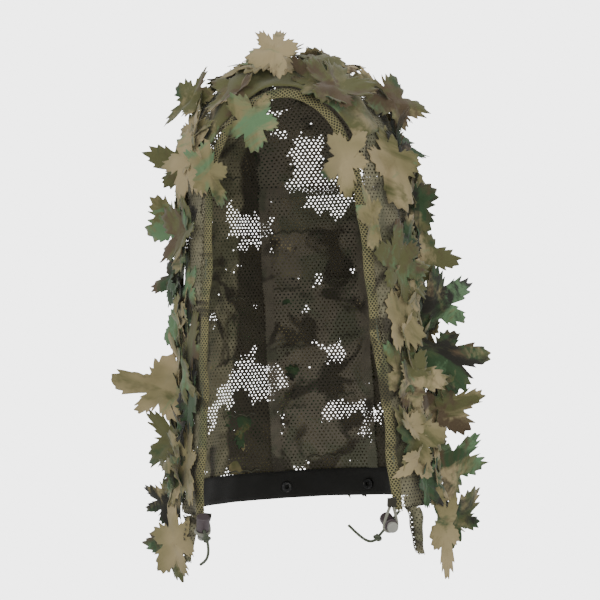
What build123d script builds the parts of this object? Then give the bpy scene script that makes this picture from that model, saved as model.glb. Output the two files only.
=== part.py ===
"""A leafy camouflage hood mask: a netting hood, open at the face, with cut cloth leaves sewn all over it.

The frame is the wearer's: +Z up, the face looks towards -Y, and +X is on the right of somebody who looks at it.
The origin is where the top of the head meets the inside of the crown. All sizes are in millimetres.
"""
from build123d import *
from math import atan2, cos, degrees, radians, sin, sqrt
import os

os.makedirs("parts", exist_ok=True)

# The form that the netting is sewn to: an egg over the head, and a slightly flared tube down to the shoulders.
HEAD_HALF_WIDTH = 116.0
HEAD_HALF_DEPTH = 132.0
CROWN_RISE = 140.0  # from the widest part of the head up to the crown
HEM_HALF_WIDTH = 138.0
HEM_HALF_DEPTH = 150.0
HEM_Z = -486.0
FACE_Y = -96.0  # the plane of the face opening
NET = 2.0  # thickness of the netting as it stands in its folds
GAP = 0.3  # between layers that are only stitched together
CROWN_SEAM_Z = -CROWN_RISE
BACK_SEAM_X = 58.0  # the back and crown panels are this wide each side of the middle
BIG = 400.0  # larger than the hood, for cutting boxes

# Linings and tapes.
FACING = 1.2
FACING_BACK_Y = -54.0
BROW_BACK_Y = -52.0
BROW_BOTTOM_Z = -96.0
HEM_BAND = 31.0
TAPE = 0.8
TAPE_WIDTH = 9.0
HEM_TAPE = 12.0
HEM_TAPE_FRONT_Y = -84.0

# The drawcord and the channel round the face opening, which is two straight legs under a three-centred arch.
CORD = 3.0
CHANNEL_WIDTH = 14.0
CHANNEL_THICK = 5.4
TUNNEL_R = 2.0
CHANNEL_LEAN = 45.0
CHANNEL_BOTTOM_Z = -486.0
ARCH_TOP_Z = -44.0
ARCH_TOP_R = 62.0
ARCH_SHARE = 50.0  # degrees that the top arc covers each side of the middle
ARCH_HALF_WIDTH = 79.6
LEG_SLOPE = 4.4  # degrees that the legs spread downwards

# Press studs on the back of the hem.
STUD_X = 48.0
STUD_Z = -473.0
CAP_R = 7.5
CAP_HIGH = 2.6
CAP_ROUND = 1.8
POST_R = 2.0
POST_ROOM = 0.3
SOCKET_R = 6.2
SOCKET_HIGH = 3.6
SOCKET_ROUND = 1.0
SOCKET_BORE_R = 2.6
SOCKET_DEEP = 3.0
SNAP_WIRE_R = 0.35
SNAP_WIRE_X = 3.2
SNAP_WIRE_LONG = 5.0
SNAP_WIRE_ROOM = 0.1

# Cord locks, in their own frame: the cord runs along X and the plunger presses along -Z.
LOCK_R = 7.0
LOCK_CLOSED_END = -14.0
LOCK_MOUTH = 7.0
LOCK_BORE_R = 4.6
LOCK_BORE_END = -12.0
LOCK_ROUND = 1.2
CORD_HOLE_R = 2.1
GROOVE_Z = 4.0
GROOVE_R = 5.9
GROOVE_WIDE = 4.2
PLUNGER_R = 4.5
PLUNGER_END = -3.8
PLUNGER_TRAVEL = 3.0
BUTTON_R = 5.8
BUTTON_UNDER = 10.4
BUTTON_HIGH = 3.6
SLOT_LOW = -1.8
SLOT_HIGH = 4.8
SLOT_WIDE = 3.6
SPRING_R = 3.5
SPRING_WIRE_R = 0.4
SPRING_TURNS = 4.5
SPRING_ROOM = 0.05
LOCK_ALONG = 16.0  # from the channel's end to the middle of the lock
KNOT_ALONG = 36.0
KNOT_R = 4.4
KNOT_LONG = 8.0
KNOT_HOLE_R = 1.6
KNOT_ROUND = 2.6
BEND_SHARE = 0.45  # of a cord's shorter run at a corner that its bend takes up

# The free tails of the drawcord, from the channel's end through the lock and the knot to the cut end.
TAIL_RIGHT = [
    (106.0, -98.0, -488.0),
    (75.9, -98.0, -521.5),
    (66.2, -99.0, -522.6),
    (57.8, -100.0, -515.5),
    (53.6, -100.5, -505.0),
]
TAIL_LEFT = [
    (-106.0, -96.0, -488.0),
    (-92.5, -132.0, -511.4),
    (-91.8, -135.3, -521.6),
    (-96.0, -130.4, -530.0),
    (-103.2, -122.6, -534.0),
]
PLUNGER_RIGHT = (0.37, -0.87, -0.33)
PLUNGER_LEFT = (-0.15, 0.5, -0.856)

# The elastic loop that tethers a lock, in the lock's XY plane with its knotted end towards +X.
LOOP_CORD = 3.2
LOOP_POINTS = [(20.0, 2.0), (-1.4, 8.9), (-8.0, 4.1), (-8.0, -4.1), (-1.4, -8.9), (20.0, -2.0)]
LOOP_TURN_RIGHT = 218.0
LOOP_TURN_LEFT = 200.0
TAB_FROM = 20.6
TAB_LONG = 9.0
TAB_WIDE = 9.0
TAB_THICK = 4.0

# The net corners that hang rolled below the hem.
ROLL_TOP_R = 7.0
ROLL_END_R = 4.0
ROLL_LONG = 46.0
ROLL_X = 119.0
ROLL_Y = -74.0
ROLL_LEAN = 8.0
ROLL_FROM = 2.0

# Leaves: half of the outline, from the stem to the tip, as shares of the leaf's length.
LEAF = 0.8
LEAF_HALF = [
    (0.0, -0.5), (0.05, -0.32), (0.27, -0.39), (0.2, -0.23), (0.43, -0.14), (0.28, -0.03),
    (0.45, 0.17), (0.23, 0.14), (0.24, 0.33), (0.1, 0.25), (0.0, 0.5),
]
LEAF_HALF_WIDTH = 0.45
LEAF_CLEAR = 2.2  # between the netting's face and the nearest point of a leaf


def finish(piece, name):
    """Names a finished piece and writes it."""
    piece.part.label = name
    export_step(piece.part, f"parts/{name}.step")


def half_width(z):
    """Half width of the form below the widest part of the head."""
    return HEAD_HALF_WIDTH + (HEM_HALF_WIDTH - HEAD_HALF_WIDTH) * (z + CROWN_RISE) / (HEM_Z + CROWN_RISE)


def half_depth(z):
    """Half depth of the form below the widest part of the head."""
    return HEAD_HALF_DEPTH + (HEM_HALF_DEPTH - HEAD_HALF_DEPTH) * (z + CROWN_RISE) / (HEM_Z + CROWN_RISE)


def surface(angle, z):
    """A point on the form and the outward normal there. The angle is measured round from +X towards +Y."""
    turn = radians(angle)
    if z > -CROWN_RISE:
        share = sqrt(1 - ((z + CROWN_RISE) / CROWN_RISE) ** 2)
        wide, deep = HEAD_HALF_WIDTH, HEAD_HALF_DEPTH
        rise = (z + CROWN_RISE) / CROWN_RISE ** 2
    else:
        share = 1.0
        wide, deep = half_width(z), half_depth(z)
        flare_wide = (HEM_HALF_WIDTH - HEAD_HALF_WIDTH) / (-CROWN_RISE - HEM_Z)
        flare_deep = (HEM_HALF_DEPTH - HEAD_HALF_DEPTH) / (-CROWN_RISE - HEM_Z)
        rise = cos(turn) ** 2 * flare_wide / wide + sin(turn) ** 2 * flare_deep / deep
    point = Vector(wide * share * cos(turn), deep * share * sin(turn), z)
    normal = Vector(point.X / wide ** 2, point.Y / deep ** 2, rise).normalized()
    return point, normal


def turned(plane, x_turn, y_turn, z_turn):
    """A plane turned about its own axes, in degrees."""
    return Plane(plane.location * Rotation(x_turn, y_turn, z_turn))


def form(grow):
    """The solid form, grown outwards by grow."""
    size = (HEAD_HALF_WIDTH + grow, HEAD_HALF_DEPTH + grow, CROWN_RISE + grow)
    dome = Sphere(1.0, arc_size1=0, align=(Align.CENTER, Align.CENTER, Align.MIN), mode=Mode.PRIVATE)
    egg = scale(dome, by=size)
    with BuildPart() as body:
        with BuildSketch(Plane.XY.offset(-CROWN_RISE)):
            Ellipse(HEAD_HALF_WIDTH + grow, HEAD_HALF_DEPTH + grow)
        with BuildSketch(Plane.XY.offset(HEM_Z)):
            Ellipse(HEM_HALF_WIDTH + grow, HEM_HALF_DEPTH + grow)
        loft()
        add(egg.moved(Location((0, 0, -CROWN_RISE))))
    return body.part


def box_between(low, high):
    """A box given by two opposite corners."""
    middle = [(a + b) / 2 for a, b in zip(low, high)]
    size = [b - a for a, b in zip(low, high)]
    return Box(*size, mode=Mode.PRIVATE).moved(Location(middle))


# The channel's path.
arch_centre_z = ARCH_TOP_Z - ARCH_TOP_R
side_r = (ARCH_HALF_WIDTH - ARCH_TOP_R * sin(radians(ARCH_SHARE))) / (
    cos(radians(LEG_SLOPE)) - sin(radians(ARCH_SHARE))
)
side_centre_x = (ARCH_TOP_R - side_r) * sin(radians(ARCH_SHARE))
side_centre_z = arch_centre_z + (ARCH_TOP_R - side_r) * cos(radians(ARCH_SHARE))
leg_top_z = side_centre_z + side_r * sin(radians(LEG_SLOPE))
leg_spread = (leg_top_z - CHANNEL_BOTTOM_Z) * sin(radians(LEG_SLOPE)) / cos(radians(LEG_SLOPE))
leg_bottom_x = ARCH_HALF_WIDTH + leg_spread
leg_turn = 90 - ARCH_SHARE - LEG_SLOPE

with BuildLine(Plane.XZ.offset(-FACE_Y)) as channel_path:
    Line((leg_bottom_x, CHANNEL_BOTTOM_Z), (ARCH_HALF_WIDTH, leg_top_z))
    CenterArc((side_centre_x, side_centre_z), side_r, LEG_SLOPE, leg_turn)
    CenterArc((0, arch_centre_z), ARCH_TOP_R, 90 - ARCH_SHARE, 2 * ARCH_SHARE)
    CenterArc((-side_centre_x, side_centre_z), side_r, 90 + ARCH_SHARE, leg_turn)
    Line((-ARCH_HALF_WIDTH, leg_top_z), (-leg_bottom_x, CHANNEL_BOTTOM_Z))

channel_start = Plane(
    origin=(leg_bottom_x, FACE_Y, CHANNEL_BOTTOM_Z),
    x_dir=(0, 1, 0),
    z_dir=(-sin(radians(LEG_SLOPE)), 0, cos(radians(LEG_SLOPE))),
)


def along_channel(wide, thick):
    """A bar of rectangular section swept along the whole channel."""
    with BuildPart() as bar:
        with BuildSketch(channel_start):
            Rectangle(wide, thick, rotation=-CHANNEL_LEAN)
        sweep(path=channel_path.wire())
    return bar.part


def round_along_channel(radius):
    """A round bar swept along the whole channel."""
    with BuildPart() as bar:
        with BuildSketch(channel_start):
            Circle(radius)
        sweep(path=channel_path.wire())
    return bar.part


channel_room = along_channel(CHANNEL_WIDTH + 2 * GAP, CHANNEL_THICK + 2 * GAP)
channel_solid = along_channel(CHANNEL_WIDTH, CHANNEL_THICK)
tunnel = round_along_channel(TUNNEL_R)


def layer(outer, inner, low, high):
    """The part of the skin between two grown forms that lies in a box, clear of the channel."""
    outside, inside, cut = form(outer), form(inner), box_between(low, high)
    with BuildPart() as skin:
        add(outside)
        add(inside, mode=Mode.SUBTRACT)
        add(cut, mode=Mode.INTERSECT)
        if low[1] <= FACE_Y:
            add(channel_room, mode=Mode.SUBTRACT)
    return skin.part


# Netting panels, with holes for the posts of the press studs in the back one.
stud_angle = degrees(atan2(
    sqrt(1 - (STUD_X / half_width(STUD_Z)) ** 2),
    STUD_X / half_width(STUD_Z),
))
stud_point, stud_normal = surface(stud_angle, STUD_Z)
stud_planes = {
    name: Plane(
        origin=(out * stud_point.X, stud_point.Y, STUD_Z),
        x_dir=Vector(stud_normal.Y, -out * stud_normal.X, 0),
        z_dir=(out * stud_normal.X, stud_normal.Y, stud_normal.Z),
    )
    for name, out in (("right", 1), ("left", -1))
}
hem_top = HEM_Z + HEM_BAND

crown = layer(NET, 0, (-BACK_SEAM_X, FACE_Y, CROWN_SEAM_Z), (BACK_SEAM_X, BIG, BIG))
with BuildPart() as crown_panel:
    add(crown)
finish(crown_panel, "crown_panel")

back = layer(NET, 0, (-BACK_SEAM_X, 0, -2 * BIG), (BACK_SEAM_X, BIG, CROWN_SEAM_Z))
with BuildPart() as back_panel:
    add(back)
    for plane in stud_planes.values():
        with Locations(plane):
            Cylinder(POST_R + POST_ROOM, 4 * CAP_R, mode=Mode.SUBTRACT)
finish(back_panel, "back_panel")

side = layer(NET, 0, (BACK_SEAM_X, FACE_Y, -2 * BIG), (BIG, BIG, BIG))
with BuildPart() as side_panel_right:
    add(side)
finish(side_panel_right, "side_panel_right")
side_mirrored = mirror(side, about=Plane.YZ)
with BuildPart() as side_panel_left:
    add(side_mirrored)
finish(side_panel_left, "side_panel_left")

# Facings inside the front edges, and the brow band outside the arch.
facing = layer(-GAP, -GAP - FACING, (BACK_SEAM_X, FACE_Y, hem_top), (BIG, FACING_BACK_Y, CROWN_SEAM_Z))
with BuildPart() as facing_right:
    add(facing)
finish(facing_right, "facing_right")
facing_mirrored = mirror(facing, about=Plane.YZ)
with BuildPart() as facing_left:
    add(facing_mirrored)
finish(facing_left, "facing_left")

brow = layer(NET + GAP + FACING, NET + GAP, (-BIG, FACE_Y, BROW_BOTTOM_Z), (BIG, BROW_BACK_Y, BIG))
with BuildPart() as brow_band:
    add(brow)
finish(brow_band, "brow_band")

# Seam tapes inside the back and the crown.
tape = layer(
    -GAP, -GAP - TAPE,
    (BACK_SEAM_X - TAPE_WIDTH / 2, 0, hem_top + GAP),
    (BACK_SEAM_X + TAPE_WIDTH / 2, BIG, CROWN_SEAM_Z - TAPE_WIDTH),
)
with BuildPart() as back_seam_tape_right:
    add(tape)
finish(back_seam_tape_right, "back_seam_tape_right")
tape_mirrored = mirror(tape, about=Plane.YZ)
with BuildPart() as back_seam_tape_left:
    add(tape_mirrored)
finish(back_seam_tape_left, "back_seam_tape_left")

crown_tape = layer(
    -GAP, -GAP - TAPE,
    (-BACK_SEAM_X, 0, CROWN_SEAM_Z - TAPE_WIDTH / 2),
    (BACK_SEAM_X, BIG, CROWN_SEAM_Z + TAPE_WIDTH / 2),
)
with BuildPart() as crown_seam_tape:
    add(crown_tape)
finish(crown_seam_tape, "crown_seam_tape")

# The solid band inside the back of the hem, and the narrow hem tapes inside the sides.
hem_band = layer(-GAP, -GAP - FACING, (-BIG, 0, -2 * BIG), (BIG, BIG, hem_top))
with BuildPart() as hem_band_back:
    add(hem_band)
    for plane in stud_planes.values():
        with Locations(plane):
            Cylinder(POST_R + POST_ROOM, 4 * CAP_R, mode=Mode.SUBTRACT)
finish(hem_band_back, "hem_band_back")

hem_tape = layer(-GAP, -GAP - TAPE, (BACK_SEAM_X, HEM_TAPE_FRONT_Y, -2 * BIG), (BIG, -GAP, HEM_Z + HEM_TAPE))
with BuildPart() as hem_tape_right:
    add(hem_tape)
finish(hem_tape_right, "hem_tape_right")
hem_tape_mirrored = mirror(hem_tape, about=Plane.YZ)
with BuildPart() as hem_tape_left:
    add(hem_tape_mirrored)
finish(hem_tape_left, "hem_tape_left")

# The channel, sewn in three lengths, and the drawcord in it.
for name, low, high in (
    ("channel_brow", (-BIG, -BIG, leg_top_z), (BIG, BIG, BIG)),
    ("channel_right", (0, -BIG, -2 * BIG), (BIG, BIG, leg_top_z)),
    ("channel_left", (-BIG, -BIG, -2 * BIG), (0, BIG, leg_top_z)),
):
    with BuildPart() as channel:
        add(channel_solid)
        add(tunnel, mode=Mode.SUBTRACT)
        add(box_between(low, high), mode=Mode.INTERSECT)
    finish(channel, name)

cord_bar = round_along_channel(CORD / 2)
with BuildPart() as drawcord:
    add(cord_bar)
finish(drawcord, "drawcord")

# Press studs: a domed cap outside with its post through the hem, and a socket with two snap wires inside.
for name, plane in stud_planes.items():
    with BuildPart() as stud_cap:
        with BuildSketch(plane.offset(NET + GAP)):
            Circle(CAP_R)
        extrude(amount=CAP_HIGH)
        fillet(stud_cap.faces().sort_by(Axis(plane.origin, plane.z_dir))[-1].edges(), CAP_ROUND)
        with BuildSketch(plane.offset(NET + GAP)):
            Circle(POST_R)
        extrude(amount=-(NET + GAP + GAP + FACING + GAP))
    finish(stud_cap, f"stud_cap_{name}")

    socket_plane = plane.offset(-(GAP + FACING + GAP))
    with BuildPart() as stud_socket:
        with BuildSketch(socket_plane):
            Circle(SOCKET_R)
        extrude(amount=-SOCKET_HIGH)
        fillet(stud_socket.faces().sort_by(Axis(plane.origin, plane.z_dir))[0].edges(), SOCKET_ROUND)
        with BuildSketch(socket_plane.offset(-SOCKET_HIGH)):
            Circle(SOCKET_BORE_R)
        extrude(amount=SOCKET_DEEP, mode=Mode.SUBTRACT)
        with BuildSketch(socket_plane.offset(-SOCKET_HIGH / 2)):
            with GridLocations(0, 2 * SNAP_WIRE_X, 1, 2):
                Rectangle(SNAP_WIRE_LONG + 2 * SNAP_WIRE_ROOM, 2 * (SNAP_WIRE_R + SNAP_WIRE_ROOM))
        extrude(amount=SNAP_WIRE_R + SNAP_WIRE_ROOM, both=True, mode=Mode.SUBTRACT)
    finish(stud_socket, f"stud_socket_{name}")

    with BuildPart() as snap_wires:
        with Locations(socket_plane.offset(-SOCKET_HIGH / 2)):
            with GridLocations(0, 2 * SNAP_WIRE_X, 1, 2):
                Cylinder(SNAP_WIRE_R, SNAP_WIRE_LONG, rotation=(0, 90, 0))
    finish(snap_wires, f"snap_wires_{name}")

# Cord locks on the two ends of the drawcord.
locks = {
    "right": (TAIL_RIGHT, PLUNGER_RIGHT, LOOP_TURN_RIGHT),
    "left": (TAIL_LEFT, PLUNGER_LEFT, LOOP_TURN_LEFT),
}


def tail_radii(points):
    """A bend radius for each corner of a route, as large as its runs allow."""
    radii = []
    for before, corner, after in zip(points, points[1:], points[2:]):
        run_in = Vector(*corner) - Vector(*before)
        run_out = Vector(*after) - Vector(*corner)
        turn = run_in.get_angle(run_out)
        room = BEND_SHARE * min(run_in.length, run_out.length)
        radii.append(room * cos(radians(turn / 2)) / sin(radians(turn / 2)))
    return radii


for name, (route, press_axis, loop_turn) in locks.items():
    start = Vector(*route[0])
    run = (Vector(*route[1]) - start).normalized()
    press = Vector(*press_axis)
    press = (press - run * press.dot(run)).normalized()
    lock = Plane(origin=start + run * LOCK_ALONG, x_dir=run, z_dir=press)
    across = Plane(origin=lock.origin, x_dir=press, z_dir=run)

    with BuildPart() as lock_barrel:
        with BuildSketch(lock.offset(LOCK_CLOSED_END)):
            Circle(LOCK_R)
        extrude(amount=LOCK_MOUTH - LOCK_CLOSED_END)
        fillet(lock_barrel.edges().filter_by(GeomType.CIRCLE), LOCK_ROUND)
        with BuildSketch(lock.offset(GROOVE_Z - GROOVE_WIDE / 2)):
            Circle(2 * LOCK_R)
            Circle(GROOVE_R, mode=Mode.SUBTRACT)
        extrude(amount=GROOVE_WIDE, mode=Mode.SUBTRACT)
        with BuildSketch(lock.offset(LOCK_BORE_END)):
            Circle(LOCK_BORE_R)
        extrude(amount=LOCK_MOUTH - LOCK_BORE_END, mode=Mode.SUBTRACT)
        with BuildSketch(across):
            Circle(CORD_HOLE_R)
        extrude(amount=2 * LOCK_R, both=True, mode=Mode.SUBTRACT)
    finish(lock_barrel, f"lock_barrel_{name}")

    with BuildPart() as lock_plunger:
        with BuildSketch(lock.offset(PLUNGER_END)):
            Circle(PLUNGER_R)
        extrude(amount=BUTTON_UNDER - PLUNGER_END)
        with BuildSketch(lock.offset(BUTTON_UNDER)):
            Circle(BUTTON_R)
        extrude(amount=BUTTON_HIGH)
        fillet(lock_plunger.faces().sort_by(Axis(lock.origin, lock.z_dir))[-1].edges(), LOCK_ROUND)
        with BuildSketch(across):
            with Locations(((SLOT_LOW + SLOT_HIGH) / 2, 0)):
                SlotOverall(SLOT_HIGH - SLOT_LOW, SLOT_WIDE)
        extrude(amount=2 * LOCK_R, both=True, mode=Mode.SUBTRACT)
    finish(lock_plunger, f"lock_plunger_{name}")

    spring_height = PLUNGER_END - LOCK_BORE_END - 2 * (SPRING_WIRE_R + SPRING_ROOM)
    spring_path = Helix(spring_height / SPRING_TURNS, spring_height, SPRING_R)
    spring_section = Plane(origin=spring_path @ 0, z_dir=spring_path % 0)
    with BuildPart() as coil:
        with BuildSketch(spring_section):
            Circle(SPRING_WIRE_R)
        sweep(path=spring_path)
    with BuildPart() as lock_spring:
        add(coil.part.moved(lock.offset(LOCK_BORE_END + SPRING_WIRE_R + SPRING_ROOM).location))
    finish(lock_spring, f"lock_spring_{name}")

    loop_plane = turned(lock.offset(GROOVE_Z), 0, 0, loop_turn)
    with BuildPart() as lock_loop:
        with BuildLine(loop_plane) as loop_path:
            FilletPolyline(*LOOP_POINTS, radius=tail_radii([(x, y, 0) for x, y in LOOP_POINTS]))
        with BuildSketch(Plane(origin=loop_path.line @ 0, z_dir=loop_path.line % 0)):
            Circle(LOOP_CORD / 2)
        sweep(path=loop_path.wire())
    finish(lock_loop, f"lock_loop_{name}")

    with BuildPart() as loop_tab:
        with Locations(loop_plane):
            with Locations((TAB_FROM + TAB_LONG / 2, 0, 0)):
                Box(TAB_LONG, TAB_WIDE, TAB_THICK)
    finish(loop_tab, f"loop_tab_{name}")

    with BuildPart() as tail:
        with BuildLine() as tail_path:
            FilletPolyline(*route, radius=tail_radii(route))
        with BuildSketch(Plane(origin=tail_path.line @ 0, z_dir=tail_path.line % 0)):
            Circle(CORD / 2)
        sweep(path=tail_path.wire())
    finish(tail, f"tail_{name}")

    knot_plane = Plane(origin=start + run * KNOT_ALONG, z_dir=run)
    with BuildPart() as tail_knot:
        with Locations(knot_plane):
            Cylinder(KNOT_R, KNOT_LONG)
        fillet(tail_knot.edges().filter_by(GeomType.CIRCLE), KNOT_ROUND)
        with Locations(knot_plane):
            Cylinder(KNOT_HOLE_R, 2 * KNOT_LONG, mode=Mode.SUBTRACT)
    finish(tail_knot, f"tail_knot_{name}")

# The net corners, rolled, that hang below the hem.
for name, out in (("right", 1), ("left", -1)):
    roll_plane = Plane(
        origin=(out * ROLL_X, ROLL_Y, HEM_Z - GAP),
        x_dir=(1, 0, 0),
        z_dir=(out * sin(radians(ROLL_LEAN)), 0, -cos(radians(ROLL_LEAN))),
    )
    with BuildPart() as corner_roll:
        with BuildSketch(roll_plane.offset(ROLL_FROM)):
            Circle(ROLL_TOP_R)
        with BuildSketch(roll_plane.offset(ROLL_LONG)):
            Circle(ROLL_END_R)
        loft()
    finish(corner_roll, f"corner_roll_{name}")


# Leaves. Each row of a table is one leaf, sewn on at its middle: angle round the form, height, turn about the
# vertical, tip-out about the horizontal, turn in its own plane, length.
LEAVES_RIGHT = [
    [(-10, -66, 35, 0, 200, 62), (24, -58, 20, 10, 150, 64), (298, -37, 0, 0, 30, 54)],
    [
        (-24, -124, 50, 0, 20, 68), (14, -126, 35, 8, 190, 64),
        (-3, -172, 60, 0, 160, 58), (26, -178, 20, 5, 340, 66),
    ],
    [(-2, -222, 58, 10, 250, 62), (-29, -226, 12, 0, 10, 60), (22, -242, 20, 8, 120, 66)],
    [(-3, -276, 62, 0, 290, 68), (-28, -288, 15, 5, 170, 62), (22, -306, 20, 5, 210, 66)],
    [(-4, -332, 66, 0, 262, 76), (-28, -350, 18, 0, 15, 60), (22, -370, 25, 6, 150, 66)],
    [
        (-2, -390, 60, 0, 280, 66), (-27, -414, 22, 5, 185, 66),
        (22, -434, 30, 8, 20, 68), (-4, -450, 58, 0, 300, 68),
    ],
]
LEAVES_LEFT = [
    [(190, -50, -40, 0, 160, 62), (158, -56, -20, 10, 210, 64), (232, -38, 0, 0, 340, 56)],
    [
        (216, -108, -20, 0, 335, 64), (184, -116, -50, 0, 100, 60),
        (160, -124, -20, 5, 20, 64), (190, -172, -58, 0, 70, 60),
    ],
    [(211, -182, -8, 5, 330, 58), (184, -232, -50, 0, 120, 58), (160, -196, -20, 8, 240, 66)],
    [(209, -246, -6, 0, 350, 60), (186, -290, -38, 0, 200, 66), (160, -262, -20, 5, 150, 66)],
    [(209, -308, -8, 5, 190, 60), (185, -352, -66, 0, 95, 76), (160, -328, -17, 5, 210, 66)],
    [
        (209, -370, -10, 0, 345, 60), (208, -432, -14, 5, 20, 62),
        (186, -412, -40, 0, 175, 60), (160, -396, -30, 8, 340, 66),
    ],
]
LEAVES_BACK = [
    [(50, -56), (90, -46), (130, -60)],
    [(46, -118), (76, -108), (106, -116), (134, -122)],
    [(46, -186), (74, -174), (102, -184), (132, -190)],
    [(48, -252), (77, -240), (106, -250), (134, -258)],
    [(48, -318), (76, -306), (104, -316), (132, -324)],
    [(48, -384), (77, -372), (105, -382), (134, -390), (50, -448), (90, -440), (132, -454)],
]
LEAVES_CROWN = [
    (250, -9, 0, 0, 40, 58), (330, -14, 0, 0, 130, 58), (70, -10, 0, 0, 250, 58), (165, -16, 0, 0, 190, 58),
]
LEAVES_HEM = [
    (2, -508, 60, 0, 300, 60), (-20, -516, 60, 0, 175, 64), (24, -506, 40, 0, 60, 60),
    (188, -474, -55, 0, 80, 64), (206, -516, -45, 0, 190, 62), (186, -526, -45, 0, 120, 58),
    (160, -470, -40, 0, 300, 60),
]
# Leaves on the front of the channel: middle, turn about the vertical, tip-out, turn in its own plane, length.
LEAVES_BROW = [
    (-27, -105.5, -73, 0, 0, 165, 60),
    (-76, -105.5, -124, 15, 0, 200, 56),
    (68, -105.5, -117, -15, 0, 150, 64),
    (94, -110, -178, -18, 0, 185, 60),
    (-4, -86, -8, 0, 32, 10, 62),
]
BACK_LEAF_LENGTH = 66.0
BACK_LEAF_TIP = 6.0
BACK_LEAF_TURN = 137.0


def leaf_solid(angle, z, yaw, tip, turn, length):
    """A leaf whose nearest corner clears the netting, turned and tipped about its middle."""
    point, normal = surface(angle, z)
    side_step = Vector(0, 0, 1).cross(normal).normalized()
    half_wide, half_long = LEAF_HALF_WIDTH * length, length / 2
    stand = NET + LEAF_CLEAR + half_wide * abs(sin(radians(yaw))) + half_long * abs(sin(radians(tip)))
    face = Plane(origin=point + normal * stand, x_dir=side_step, z_dir=normal)
    return leaf_on(turned(turned(face, 0, -yaw, 0), -tip, 0, 0), turn, length)


def leaf_on(face, turn, length):
    """A leaf lying on a plane, turned in it."""
    face = turned(face, 0, 0, turn)
    outline = [(x * length, y * length) for x, y in LEAF_HALF]
    outline += [(-x * length, y * length) for x, y in LEAF_HALF[-2:0:-1]]
    with BuildPart() as leaf:
        with BuildSketch(face):
            with BuildLine():
                Polyline(*outline, close=True)
            make_face()
        extrude(amount=LEAF)
    return leaf.part


def brow_leaf(x, y, z, yaw, tip, turn, length):
    """A leaf that faces forward, sewn at its middle to the front of the channel."""
    face = Plane(origin=(x, y, z), x_dir=(1, 0, 0), z_dir=(0, -1, 0))
    return leaf_on(turned(turned(face, 0, yaw, 0), -tip, 0, 0), turn, length)


def leaf_group(name, leaves):
    """A node of leaves."""
    with BuildPart() as group:
        add(leaves)
    finish(group, name)


for tier, rows in enumerate(LEAVES_RIGHT, 1):
    leaf_group(f"leaves_right_{tier}", [leaf_solid(*row) for row in rows])
for tier, rows in enumerate(LEAVES_LEFT, 1):
    leaf_group(f"leaves_left_{tier}", [leaf_solid(*row) for row in rows])
for tier, spots in enumerate(LEAVES_BACK, 1):
    turns = [(BACK_LEAF_TURN * (column + tier)) % 360 for column in range(len(spots))]
    leaf_group(f"leaves_back_{tier}", [
        leaf_solid(angle, z, 0, BACK_LEAF_TIP, turn, BACK_LEAF_LENGTH) for (angle, z), turn in zip(spots, turns)
    ])
leaf_group("leaves_crown", [leaf_solid(*row) for row in LEAVES_CROWN])
leaf_group("leaves_hem", [leaf_solid(*row) for row in LEAVES_HEM])
leaf_group("leaves_brow", [brow_leaf(*row) for row in LEAVES_BROW])
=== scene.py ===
"""The looks of a leafy camouflage hood mask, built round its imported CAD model. Lengths are in metres."""
import math
import random

import bpy
import numpy as np
from mathutils import Matrix, Vector


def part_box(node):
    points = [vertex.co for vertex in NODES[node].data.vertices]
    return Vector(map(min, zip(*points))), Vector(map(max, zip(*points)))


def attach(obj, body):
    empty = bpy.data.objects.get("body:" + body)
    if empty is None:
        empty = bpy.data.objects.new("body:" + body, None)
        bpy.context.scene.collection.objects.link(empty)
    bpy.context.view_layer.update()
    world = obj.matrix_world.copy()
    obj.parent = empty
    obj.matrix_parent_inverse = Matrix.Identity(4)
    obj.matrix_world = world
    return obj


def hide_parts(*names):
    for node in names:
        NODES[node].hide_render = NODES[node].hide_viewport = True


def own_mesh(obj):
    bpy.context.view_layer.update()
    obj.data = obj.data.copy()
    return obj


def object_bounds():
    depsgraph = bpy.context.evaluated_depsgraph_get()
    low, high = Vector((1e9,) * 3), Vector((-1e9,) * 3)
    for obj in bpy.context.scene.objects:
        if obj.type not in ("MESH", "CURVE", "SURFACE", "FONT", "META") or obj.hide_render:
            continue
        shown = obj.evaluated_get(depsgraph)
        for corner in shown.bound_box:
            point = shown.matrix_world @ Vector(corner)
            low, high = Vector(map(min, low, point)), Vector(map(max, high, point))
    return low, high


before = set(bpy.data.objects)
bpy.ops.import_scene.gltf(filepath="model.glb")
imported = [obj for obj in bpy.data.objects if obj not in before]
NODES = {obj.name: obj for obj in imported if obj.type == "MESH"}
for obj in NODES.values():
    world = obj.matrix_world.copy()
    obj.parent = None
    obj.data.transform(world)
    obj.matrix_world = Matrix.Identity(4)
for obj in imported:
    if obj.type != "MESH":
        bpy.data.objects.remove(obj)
cad_low, cad_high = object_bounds()

# ---------------------------------------------------------------- the form that the netting is sewn to
HEAD_WIDE = 0.116
HEAD_DEEP = 0.132
RISE = 0.140
HEM_WIDE = 0.138
HEM_DEEP = 0.150
HEM_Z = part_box("side_panel_right")[0][2]
FACE_Y = -0.096
SEAM_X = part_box("crown_panel")[1][0]
TUBE = -RISE - HEM_Z  # height of the straight part
DOME_R = 0.132  # mean radius of the crown along its profile
NET_STAND = 0.001  # the net lies in the middle of the skin that stands for it


def half_sizes(z):
    """Half width and half depth of the tube at height z."""
    share = np.clip((-RISE - z) / TUBE, 0, 1)
    wide = HEAD_WIDE + (HEM_WIDE - HEAD_WIDE) * share
    deep = HEAD_DEEP + (HEM_DEEP - HEAD_DEEP) * share
    return wide, deep


FOLD_WAVES = [
    # amplitude, waves per metre along x, y, z, phase
    (0.0016, 9.0, 7.0, 1.5, 0.4), (0.0013, -13.0, 10.0, 3.0, 2.1), (0.0011, 6.0, -17.0, 5.0, 4.0),
    (0.0008, 21.0, 19.0, -9.0, 1.2), (0.0007, -26.0, 14.0, 16.0, 5.1), (0.0006, 15.0, 11.0, 31.0, 3.3),
]


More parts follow.
